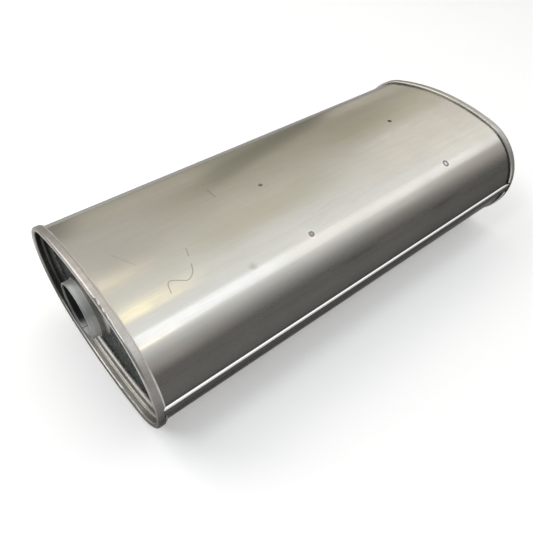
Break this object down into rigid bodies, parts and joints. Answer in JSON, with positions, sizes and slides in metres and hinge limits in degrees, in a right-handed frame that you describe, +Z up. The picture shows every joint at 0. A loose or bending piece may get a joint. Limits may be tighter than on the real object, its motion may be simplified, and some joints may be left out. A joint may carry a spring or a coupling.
{
  "type": "oval exhaust muffler",
  "caption": "Oval sheet-steel exhaust muffler with rolled rims, a lengthwise lock seam, recessed heads and an offset pipe socket at each end.",
  "frame": {"origin": "on the floor, under the middle of the body", "axes": "+X along the body from the inlet end to the outlet end, +Z up across the narrow way of the oval"},
  "size_m": [0.4614, 0.2182, 0.1318],
  "materials": {
    "shell_steel": "satin rolled sheet",
    "head_steel": "satin pressed sheet",
    "neck_steel": "satin tube",
    "inner_steel": "dull sheet"
  },
  "bodies": {
    "root": {"outer_shell": "shell_steel", "inlet_head": "head_steel", "outlet_head": "head_steel", "inlet_neck": "neck_steel", "outlet_neck": "neck_steel", "front_baffle": "inner_steel", "rear_baffle": "inner_steel", "inlet_tube": "inner_steel", "return_tube": "inner_steel", "outlet_tube": "inner_steel"}
  },
  "joints": []
}
